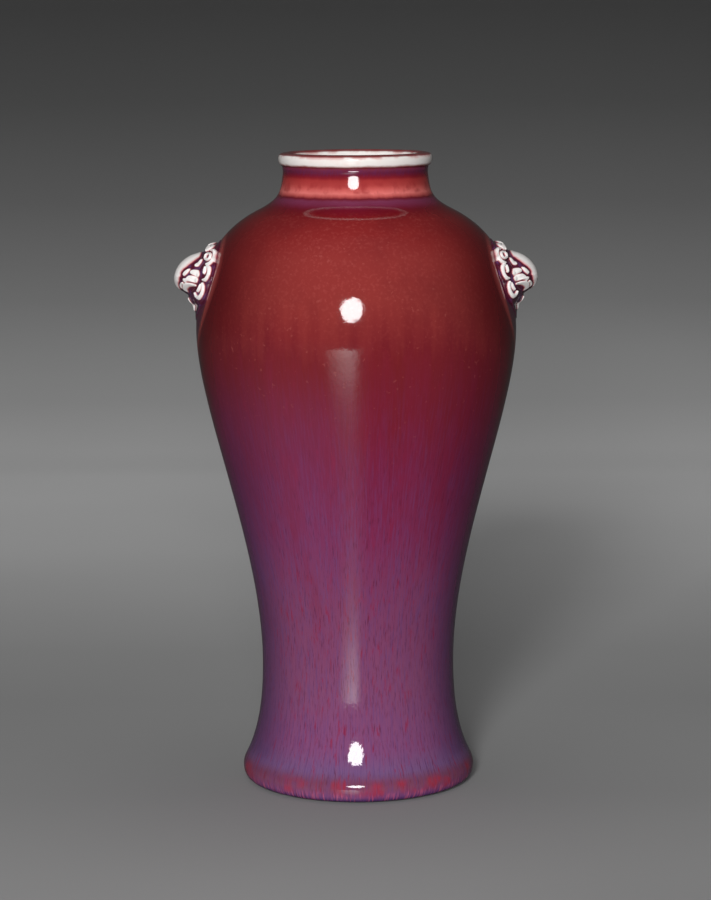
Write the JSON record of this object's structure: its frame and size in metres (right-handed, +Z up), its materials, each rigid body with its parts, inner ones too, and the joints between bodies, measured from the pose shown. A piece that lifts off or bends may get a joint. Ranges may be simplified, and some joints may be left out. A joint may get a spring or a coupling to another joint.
{
  "type": "baluster vase",
  "caption": "Tall baluster vase with a high shoulder, short neck, rolled white lip, flared foot and animal-mask ornaments, under a streaked red and purple glaze.",
  "frame": {"origin": "centre of the foot ring, in the plane that the vase stands on", "axes": "+Z up along the axis of the vase, the two masks face +X and -X, the pictured side faces -Y"},
  "size_m": [0.1434, 0.126, 0.25],
  "materials": {
    "porcelain": "unglazed fired porcelain, faintly sandy, toasted brown where the foot is bare",
    "luting_slip": "fired slip in the seams, matte",
    "red_glaze": "thick glossy copper-red glaze, oxblood above and streaked purple and blue below",
    "pale_glaze": "thin glossy clear white glaze with a pink blush",
    "mask_glaze": "glossy glaze, white on the high relief and purple in the hollows"
  },
  "bodies": {
    "root": {"foot_section": "porcelain", "body_section": "porcelain", "shoulder_section": "porcelain", "neck_section": "porcelain", "waist_slip": "luting_slip", "belly_slip": "luting_slip", "neck_slip": "luting_slip", "outer_glaze": "red_glaze", "inner_glaze": "pale_glaze", "base_glaze": "pale_glaze", "right_mask": "mask_glaze", "left_mask": "mask_glaze"}
  },
  "joints": []
}
